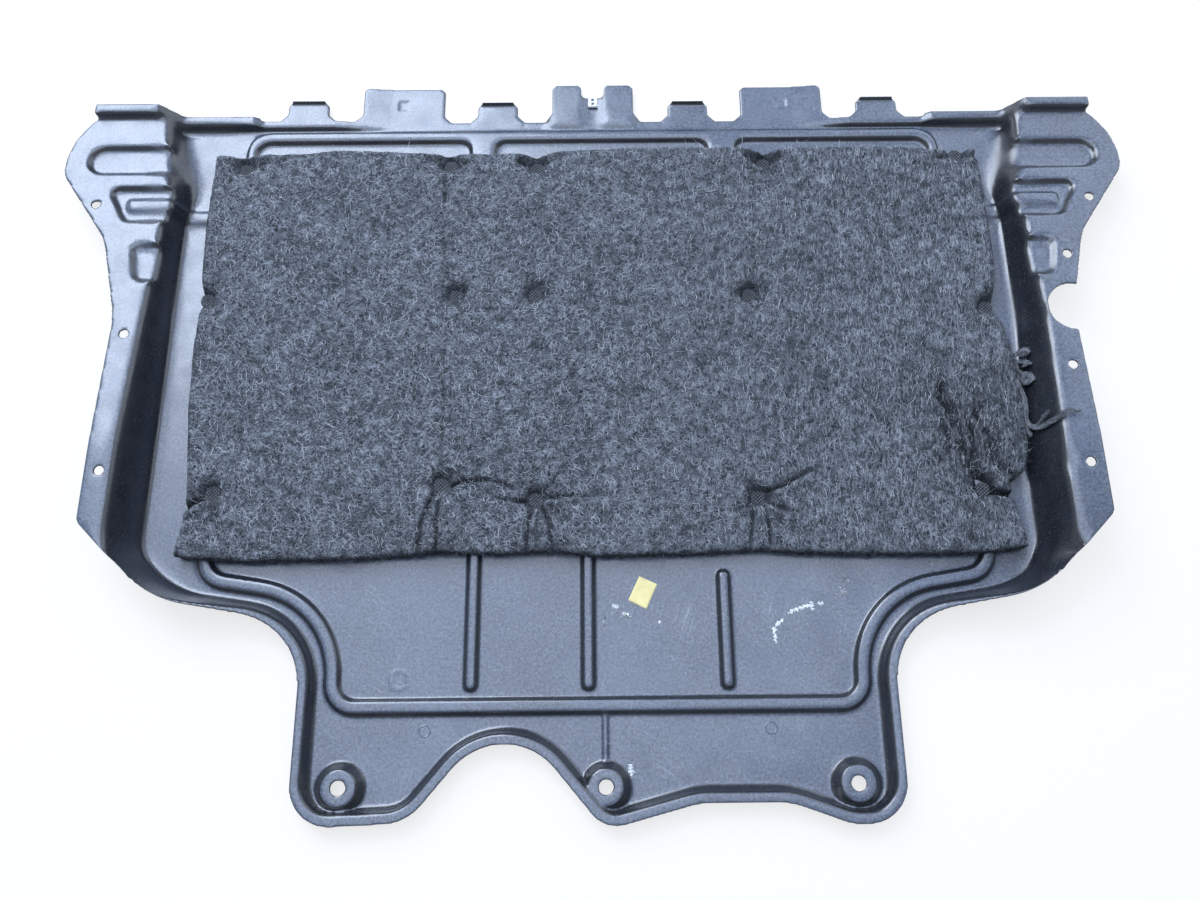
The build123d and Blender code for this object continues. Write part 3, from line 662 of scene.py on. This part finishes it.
def ribbons(path, half):
    """Flat ribbons along paths (count, steps, 3): each point set half a width to both sides of its path."""
    way = np.gradient(path, axis=1)
    side = np.stack([-way[..., 1], way[..., 0], 0.6 * np.abs(way[..., 0])], -1)
    side *= (half / np.maximum(np.linalg.norm(side, axis=-1), 1e-9))[..., None]
    count, steps = path.shape[:2]
    points = np.stack([path - side, path + side], 2).reshape(-1, 3)
    first = np.arange(count)[:, None] * steps * 2 + np.arange(steps - 1)[None] * 2
    return points, np.stack([first, first + 1, first + 3, first + 2], -1).reshape(-1, 4)


def fibre_finish():
    """Fibre colour from dark to light by each fibre's own tone."""
    material, tree, shader = new_material("loose_fibre", (0.2, 0.22, 0.26), 0.8, Specular_IOR_Level=0.25)
    uneven = times(tree, attribute(tree, "tone"), plus(tree, grain(tree, place(tree), 500, 1), 0.5))
    tree.links.new(colours(tree, uneven, (0.02, 0.023, 0.028), (0.5, 0.54, 0.6)), shader.inputs["Base Color"])
    return material


def toned(piece, tone, each):
    """Gives every fibre's points that fibre's tone."""
    values = np.repeat(tone, each).astype(np.float32)
    piece.data.attributes.new("tone", "FLOAT", "POINT").data.foreach_set("value", values)
    return piece


def face_fibres(material):
    """Fibres on the felt's face: short arcs, closer together in clouds, upright to the right, lifted a hair."""
    draw = np.random.default_rng(21)
    u, v = draw.uniform(0.008, 0.992, (2, FIBRE_COUNT * 3))
    plan = felt_plan(u, v)
    dense = waves(plan[:, 0], plan[:, 1], 9 * MM, 40 * MM, 40, 8)
    plan = plan[0.45 * dense + draw.normal(0, 0.8, len(dense)) > 0.3][:FIBRE_COUNT]
    plan = plan[np.min(np.linalg.norm(plan[:, None] - FELT_WELDS[None], axis=2), 1) > FIBRE_OFF_WELD]
    count, steps = len(plan), FIBRE_STEPS
    upright = np.clip((plan[:, 0] / MM - 20) / 240, 0, 1)
    straight = draw.uniform(size=count) < upright * 0.8
    turn = np.where(straight, draw.normal(1.5, 0.3, count), draw.uniform(0, np.pi, count))
    bend, length = draw.normal(0, 2.2, count), draw.gamma(3, 2.1, count) * MM
    share = np.linspace(-0.5, 0.5, steps)[None]
    heading = turn[:, None] + bend[:, None] * share
    x = plan[:, :1] + np.cumsum(np.cos(heading), 1) * length[:, None] / steps
    y = plan[:, 1:] + np.cumsum(np.sin(heading), 1) * length[:, None] / steps
    lift = (0.15 + draw.uniform(0, 0.9, count)[:, None] * (share + 0.5) ** 2) * MM
    z = felt_top(x, y, np.full(x.shape, 9.0))[0] + lift
    half = draw.uniform(0.1, 0.22, count)[:, None] * MM * (1 - (2 * share) ** 4 * 0.8)
    piece = mesh_piece("felt_face_fibres", *ribbons(np.dstack([x, y, z]), half), material)
    return toned(piece, draw.uniform(0.3, 1.15, count) ** 1.3, steps * 2)


def edge_fibres(material):
    """Fringe on the cut sides: short fibres that stand outwards, longest where the edge is torn."""
    draw = np.random.default_rng(22)
    at, side = draw.uniform(size=FRINGE_COUNT), draw.integers(0, 4, FRINGE_COUNT)
    u = np.choose(side, [at, at, at * 0, at * 0 + 1])
    v = np.choose(side, [at * 0, at * 0 + 1, at, at])
    plan = felt_plan(u, v)
    away = np.choose(side, [-np.pi / 2, np.pi / 2, np.pi, 0]) + draw.normal(0, 0.7, FRINGE_COUNT)
    ripped = (side == 3) & (plan[:, 1] < 60 * MM) & (plan[:, 1] > -90 * MM)
    length = draw.gamma(3, 0.8, FRINGE_COUNT) * np.where(ripped, 1.8, 1.0) * MM
    steps = FRINGE_STEPS
    share = np.linspace(0, 1, steps)[None]
    heading = away[:, None] + draw.normal(0, 1.2, FRINGE_COUNT)[:, None] * share
    x = plan[:, :1] + np.cumsum(np.cos(heading), 1) * length[:, None] / steps
    y = plan[:, 1:] + np.cumsum(np.sin(heading), 1) * length[:, None] / steps
    brink = felt_top(plan[:, :1], plan[:, 1:], np.zeros((FRINGE_COUNT, 1)))[0]
    start = FELT_FLOOR + (brink - FELT_FLOOR) * draw.uniform(0.1, 1, (FRINGE_COUNT, 1))
    droop = draw.normal(0, 0.35, (FRINGE_COUNT, 1)) * length[:, None] * share
    z = np.maximum(start + droop, FELT_FLOOR + 0.3 * MM)
    half = draw.uniform(0.06, 0.13, FRINGE_COUNT)[:, None] * MM * (1 - 0.7 * share)
    piece = mesh_piece("felt_edge_fibres", *ribbons(np.dstack([x, y, z]), half), material)
    return toned(piece, draw.uniform(0.1, 0.7, FRINGE_COUNT) ** 1.5, steps * 2)


def torn_hanks(material):
    """Hanks: many fibres along one line, each coiling about it at its own distance and fraying at the end."""
    draw = np.random.default_rng(23)
    points, faces, tones = [], [], []
    share = np.linspace(0, 1, HANK_STEPS)[None]
    for line, count, thick in HANKS:
        phase, coil = draw.uniform(0, 2 * np.pi, (count, 1)), draw.uniform(2, 7, (count, 1))
        radius = thick * MM * draw.uniform(0.15, 1, (count, 1))
        radius = radius * (0.55 + 0.45 * np.sin(share * 9 + phase)) * (0.7 + 0.6 * share)
        turn = phase + coil * share
        wander = np.dstack([np.cos(turn), np.sin(turn), np.sin(turn * 1.3 + phase)]) * radius[..., None]
        reach = draw.uniform(0.6, 1, (count, 1))
        often, shift = draw.uniform(14, 34, (count, 1, 3)), draw.uniform(0, 6.3, (count, 1, 3))
        ripple = np.sin(share[..., None] * often + shift) * draw.uniform(0.2, 0.8, (count, 1, 1)) * MM
        path = along_line(line, share * reach) + wander + ripple
        new_points, new_faces = ribbons(path, np.full((count, HANK_STEPS), HANK_HALF))
        faces.append(new_faces + sum(len(part) for part in points))
        points.append(new_points)
        tones.append(draw.uniform(0.04, 0.62, count))
    piece = mesh_piece("felt_torn_hanks", np.concatenate(points), np.concatenate(faces), material)
    return toned(piece, np.concatenate(tones), HANK_STEPS * 2)


fibre = fibre_finish()
for strand in (face_fibres(fibre), edge_fibres(fibre), torn_hanks(fibre)):
    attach(strand, "root")


# Welds
# Fifteen round spots where a hot stamp with a cross-cut face melted the felt onto the floor.
# The felt is fused there to a dark, slightly shiny button with a waffle of small pyramids.

WELD_RADIUS = 6.9 * MM
WELD_PITCH = 2.3 * MM
WELD_TURN = math.radians(40)


def weld_buttons(material):
    """Buttons: rings of points about each weld, as high as two crossed folded waves and sunk at the brim."""
    ring, turn = np.meshgrid(np.linspace(0.02, 1, 18), np.linspace(0, 2 * np.pi, 61))
    x, y = ring * np.cos(turn) * WELD_RADIUS, ring * np.sin(turn) * WELD_RADIUS
    across = x * math.cos(WELD_TURN) + y * math.sin(WELD_TURN)
    along = y * math.cos(WELD_TURN) - x * math.sin(WELD_TURN)
    waffle = np.abs(np.sin(np.pi * across / WELD_PITCH)) * np.abs(np.sin(np.pi * along / WELD_PITCH))
    height = FELT_FLOOR + WELD_RISE + (0.2 + 1.3 * waffle) * MM - 2 * MM * np.clip(ring * 6 - 5, 0, 1) ** 2
    one = np.dstack([x, y, height]).reshape(-1, 3)
    points = np.concatenate([one + (wx, wy, 0) for wx, wy in FELT_WELDS])
    faces = grid_faces(*ring.shape)[:, ::-1]
    faces = np.concatenate([faces + number * len(one) for number in range(len(FELT_WELDS))])
    piece = mesh_piece("felt_welds", points, faces, material)
    # The waffle's height is each point's tone, which the finish turns into painted shade in the grooves.
    return toned(piece, np.tile(waffle.ravel(), len(FELT_WELDS)), 1)


def fused_finish():
    """Fused felt: grey ridges and near-black grooves by the waffle's own height, the grooves darkened by painted
    shade.
    """
    material, tree, shader = new_material("fused_felt", (0.06, 0.068, 0.082), 0.5)
    spot = place(tree)
    ridge = spread(tree, attribute(tree, "tone"), 0.15, 0.75)
    ridge = times(tree, ridge, plus(tree, grain(tree, spot, 420, 2), 0.4))
    # Painted shade: grooves near black and ridges grey by the waffle's height.
    fused = colours(tree, ridge, (0.012, 0.014, 0.017), (0.15, 0.17, 0.2))
    tree.links.new(fused, shader.inputs["Base Color"])
    relief(tree, shader, grain(tree, spot, 900, 2), 0.3 * MM)
    return material


welds = weld_buttons(fused_finish())
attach(welds, "root")


# Spring clip
# A small folded clip of galvanised spring steel, pressed over the front edge between the centre tabs.
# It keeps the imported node's shape; only its finish is set here.


def zinc_finish():
    """Galvanised steel: a mottled grey with fine lines along the sheet."""
    material, tree, shader = new_material("galvanised_steel", (0.62, 0.63, 0.64), 0.32, Metallic=1.0)
    spot = place(tree)
    mottle = colours(tree, grain(tree, spot, 380, 3), (0.42, 0.43, 0.45), (0.78, 0.79, 0.8))
    tree.links.new(mottle, shader.inputs["Base Color"])
    lines = grain(tree, laid(tree, spot, 0, (200, 3000, 200)), 1, 2)
    tree.links.new(spread(tree, lines, -0.2, 1.8), shader.inputs["Roughness"])
    return material


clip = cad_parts["spring_clip"]
clip.data.materials.clear()
clip.data.materials.append(zinc_finish())


# Sticker
# A bare rectangle of yellow paper, 17 by 24 mm, stuck askew on the rear of the dish floor.
# One corner has lifted a little.

STICKER_CORNERS = np.array([(26.5, -170.3), (41.8, -178.2), (51.5, -157), (36.3, -149.8)]) * MM
STICKER_GAP = 0.12 * MM
STICKER_LIFT = 0.9 * MM
STICKER_THICK = 0.1 * MM


def sticker_mesh(material):
    """The paper: a straight blend of its corners, lifted with the square of the way to one corner."""
    u, v = np.meshgrid(np.linspace(0, 1, 13), np.linspace(0, 1, 17))
    rows, columns = u.shape
    u, v = u[..., None], v[..., None]
    a, b, c, d = STICKER_CORNERS
    plan = (1 - v) * ((1 - u) * a + u * b) + v * ((1 - u) * d + u * c)
    height = FELT_FLOOR + STICKER_GAP + STICKER_LIFT * np.clip(u + v - 1.45, 0, 1) ** 2
    points = np.dstack([plan, height]).reshape(-1, 3)
    piece = mesh_piece("paper_sticker", points, grid_faces(rows, columns), material)
    piece.modifiers.new("paper_thickness", "SOLIDIFY").thickness = STICKER_THICK
    return piece


def paper_finish():
    """Yellow paper with faint darker stains."""
    material, tree, shader = new_material("yellow_paper", (0.9, 0.82, 0.41), 0.7)
    spot = place(tree)
    stain = spread(tree, grain(tree, spot, 130, 3), 0.35, 0.75)
    tree.links.new(colours(tree, stain, (0.91, 0.81, 0.4), (0.81, 0.7, 0.34)), shader.inputs["Base Color"])
    relief(tree, shader, grain(tree, spot, 1500, 2), 0.05 * MM)
    return material


sticker = sticker_mesh(paper_finish())
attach(sticker, "root")


# Dirt
# Dried white adhesive where a strip was pulled off, crumbs of dried mud and a smear by the middle boss.
# All of it lies on the rear floor, a fraction of a millimetre thick.

SMEAR_STEPS = 41
SMEAR_ACROSS = 9
DIRT_SUNK = 0.05

# Each smear: its line, its half width and its height, in mm.
SMEARS = [
    ([(149.6, -208.5), (149.3, -202), (149, -195), (152, -191.8), (157.5, -187.3)], 1.7, 0.5),
    ([(161, -183.2), (166, -180.6), (172, -178.6), (178, -176.6), (183, -176.8)], 2.1, 0.5),
    ([(181.5, -172.5), (182, -177), (182.5, -181)], 2.0, 0.6),
    ([(187, -174.5), (192.5, -174.8)], 1.5, 0.35),
    ([(26.5, -303), (26, -308), (25, -314)], 2.7, 0.4),
    ([(23, -309), (27, -308.5)], 1.4, 0.35),
    ([(5.5, -249), (6.5, -256), (5, -262)], 0.9, 0.3),
    ([(13, -174), (18, -176.5)], 1.8, 0.3),
    ([(21, -181.5), (27, -182.5)], 1.7, 0.3),
    ([(51.5, -188.5), (53.5, -189.5)], 1.2, 0.35),
]

# Each patch of crumbs: its middle and reach in mm, and its count of crumbs.
CRUMBS = [
    (212, -153.5, 3.5, 14), (215, -157.5, 2.5, 10), (209, -165, 4.5, 26), (266, -157.5, 7, 30),
    (287, -142, 6, 34), (16, -176, 7, 26), (8, -186, 6, 14), (24, -183, 6, 20),
]


def smear_mesh(material):
    """Smears: a low rounded profile carried along each line, its half width wandering as it goes."""
    points, faces = [], []
    share = np.linspace(0, 1, SMEAR_STEPS)
    across = np.linspace(-1, 1, SMEAR_ACROSS)[None, :]
    for number, (line, half, high) in enumerate(SMEARS):
        seed = 30 + 2 * number
        middle = along_line(line, share)
        way = np.gradient(middle, axis=0)
        side = np.stack([-way[:, 1], way[:, 0]], -1) / np.linalg.norm(way, axis=1)[:, None]
        walk = share[:, None] * len(line) * 6 * MM
        wander = (0.75 + 0.4 * waves(walk, np.sign(across) * 9.0, 1.5 * MM, 7 * MM, 24, seed)).clip(0.15)
        reach = half * MM * wander * (1 - (2 * share[:, None] - 1) ** 8)
        plan = middle[:, None] + side[:, None] * (across * reach)[..., None]
        rough = (0.7 + 0.25 * waves(plan[..., 0], plan[..., 1], 1 * MM, 3 * MM, 20, seed + 1)).clip(0.2)
        height = FELT_FLOOR + (high * (1 - across ** 4) * rough - DIRT_SUNK) * MM
        faces.append(grid_faces(SMEAR_STEPS, SMEAR_ACROSS)[:, ::-1] + sum(len(part) for part in points))
        points.append(np.dstack([plan, height]).reshape(-1, 3))
    return mesh_piece("dried_adhesive", np.concatenate(points), np.concatenate(faces), material)


def crumb_mesh(material):
    """Crumbs: small lumps scattered about each patch's middle, each a cap of rings, uneven in size."""
    draw = np.random.default_rng(40)
    ring, turn = np.meshgrid(np.array([1.0, 0.75, 0.3, 0.02]), np.linspace(0, 2 * np.pi, 9), indexing="ij")
    points, faces, first = [], [], 0
    for x, y, reach, count in CRUMBS:
        spot = np.array([x, y]) + draw.normal(0, reach / 2, (count, 2))
        size = draw.gamma(3, 0.16, count)[:, None, None]
        squash = draw.uniform(0.5, 1, count)[:, None, None]
        ragged = 1 + 0.3 * np.sin(3 * turn[None] + draw.uniform(0, 6, count)[:, None, None])
        px = spot[:, 0, None, None] + ring * np.cos(turn) * size * ragged
        py = spot[:, 1, None, None] + ring * np.sin(turn) * size * squash * ragged
        pz = FELT_FLOOR / MM - DIRT_SUNK + np.sqrt(1 - ring[None] ** 2 * 0.999) * size * 0.6
        points.append(np.stack([px, py, pz], -1).reshape(-1, 3) * MM)
        one = grid_faces(*ring.shape)
        faces.append((one[None] + first + np.arange(count)[:, None, None] * ring.size).reshape(-1, 4))
        first += count * ring.size
    return mesh_piece("dried_mud", np.concatenate(points), np.concatenate(faces), material)


def chalk_finish():
    """Chalky white adhesive, greyer in places."""
    material, tree, shader = new_material("dried_white_adhesive", (0.8, 0.82, 0.8), 0.85)
    spot = place(tree)
    grey = spread(tree, grain(tree, spot, 500, 3), 0.35, 0.7)
    tree.links.new(colours(tree, grey, (0.86, 0.88, 0.86), (0.5, 0.55, 0.58)), shader.inputs["Base Color"])
    relief(tree, shader, grain(tree, spot, 900, 2), 0.3 * MM)
    return material


def mud_finish():
    """Dry mud, dark and pale by turns."""
    material, tree, shader = new_material("dried_mud", (0.3, 0.32, 0.33), 0.95)
    pale = spread(tree, grain(tree, place(tree), 300, 2), 0.42, 0.6)
    tree.links.new(colours(tree, pale, (0.10, 0.11, 0.12), (0.62, 0.64, 0.64)), shader.inputs["Base Color"])
    return material


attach(smear_mesh(chalk_finish()), "root")
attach(crumb_mesh(mud_finish()), "root")


# Mould marks
# Two round ejector marks on the rear panel and a blunt square dent in the dish, pressed in by the mould.
# They are low raised rings in the tray's own plastic, narrow on the panel and wide about the dent.

# Each mark: its middle, half width, how square it is (2 is a circle), its ring's half width and its height.
MARK_SUNK = 0.04
MARKS = [(-141.5, -276, 4.6, 2, 0.8, 0.3), (141.5, -276, 4.6, 2, 0.8, 0.3), (-164, -235, 7, 3, 3.4, 0.42)]


def mark_mesh(material):
    """Marks: a low round profile carried about each centre, on a circle or on a rounded square."""
    points, faces = [], []
    turn = np.linspace(0, 2 * np.pi, 73)[:, None]
    across = np.linspace(-1, 1, 13)[None]
    for x, y, half, power, width, rise in MARKS:
        blunt = (np.abs(np.cos(turn)) ** power + np.abs(np.sin(turn)) ** power) ** (1 / power)
        reach = half / blunt + across * width
        height = FELT_FLOOR / MM - MARK_SUNK + rise * (1 - across ** 2) ** 2 + 0 * turn
        ring = np.dstack([x + reach * np.cos(turn), y + reach * np.sin(turn), height]) * MM
        faces.append(grid_faces(*reach.shape)[:, ::-1] + sum(len(part) for part in points))
        points.append(ring.reshape(-1, 3))
    return mesh_piece("mould_marks", np.concatenate(points), np.concatenate(faces), material)


marks = mark_mesh(plastic)
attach(marks, "root")


# Stage
# A plain white floor, an even pale sky and three wide soft lights: front left, overhead and a weak one right.
# The camera stands where the photo was taken from, above the rear edge.

CAMERA_PLACE = (1.18 * MM, -315 * MM, 848.5 * MM)
CAMERA_TILT = math.radians(18.26)
CAMERA_TURN = math.radians(-0.55)
FLOOR_HALF = 20
FLOOR_GLOW = 0.72
SKY_COLOUR = (0.84, 0.94, 1.12, 1)
SKY_STRENGTH = 0.38
LAMP_COLOUR = (0.85, 0.95, 1.12)

camera = bpy.data.objects.new("photo_camera", bpy.data.cameras.new("photo_camera"))
camera.data.lens = 30
camera.data.sensor_width = 36
camera.location = CAMERA_PLACE
camera.rotation_euler = (CAMERA_TILT, 0, CAMERA_TURN)
bpy.context.scene.collection.objects.link(camera)
bpy.context.scene.camera = camera


def white_floor():
    """A white floor that glows a little where it is seen or mirrored, and lights nothing by that."""
    material, tree, shader = new_material("white_floor", (0.9, 0.9, 0.9), 0.9)
    rays = tree.nodes.new("ShaderNodeLightPath").outputs
    seen = most(tree, rays["Is Camera Ray"], most(tree, rays["Is Glossy Ray"], rays["Is Transmission Ray"]))
    glow = tree.nodes.new("ShaderNodeEmission")
    both = tree.nodes.new("ShaderNodeMixShader")
    tree.links.new(times(tree, seen, FLOOR_GLOW), both.inputs[0])
    tree.links.new(shader.outputs[0], both.inputs[1])
    tree.links.new(glow.outputs[0], both.inputs[2])
    tree.links.new(both.outputs[0], tree.nodes["Material Output"].inputs["Surface"])
    return material


def pale_sky():
    """An even pale blue sky that lights the part, with plain white behind it for the camera."""
    world = bpy.data.worlds.new("pale_sky")
    world.use_nodes = True
    tree = world.node_tree
    sky = tree.nodes["Background"]
    sky.inputs["Color"].default_value = SKY_COLOUR
    sky.inputs["Strength"].default_value = SKY_STRENGTH
    backdrop = tree.nodes.new("ShaderNodeBackground")
    backdrop.inputs["Color"].default_value = (1, 1, 1, 1)
    either = tree.nodes.new("ShaderNodeMixShader")
    tree.links.new(tree.nodes.new("ShaderNodeLightPath").outputs["Is Camera Ray"], either.inputs[0])
    tree.links.new(sky.outputs[0], either.inputs[1])
    tree.links.new(backdrop.outputs[0], either.inputs[2])
    tree.links.new(either.outputs[0], tree.nodes["World Output"].inputs["Surface"])
    return world


def soft_light(name, size, power, spot, target):
    """A square soft light at a spot, turned to a target."""
    lamp = bpy.data.lights.new(name, "AREA")
    lamp.size = size
    lamp.energy = power
    lamp.color = LAMP_COLOUR
    holder = bpy.data.objects.new(name, lamp)
    holder.location = spot
    way = np.subtract(target, spot)
    holder.rotation_euler = (math.atan2(math.hypot(way[0], way[1]), -way[2]), 0, math.atan2(-way[0], way[1]))
    bpy.context.scene.collection.objects.link(holder)


corners = [(x * FLOOR_HALF, y * FLOOR_HALF, 0) for x, y in ((-1, -1), (1, -1), (1, 1), (-1, 1))]
floor = mesh_piece("studio_floor", corners, [(0, 1, 2, 3)], white_floor())
bpy.context.scene.world = pale_sky()
soft_light("window_light", 2.0, 80, (-1.3, 2.0, 1.9), (-0.3, 0.2, 0))
soft_light("ceiling_light", 2.2, 25, (-0.25, 0.35, 2.1), (-0.1, 0.1, 0))
soft_light("right_light", 2.4, 21, (1.8, 1.65, 1.2), (0.2, 0.2, 0))

bpy.context.scene.view_settings.view_transform = "Standard"
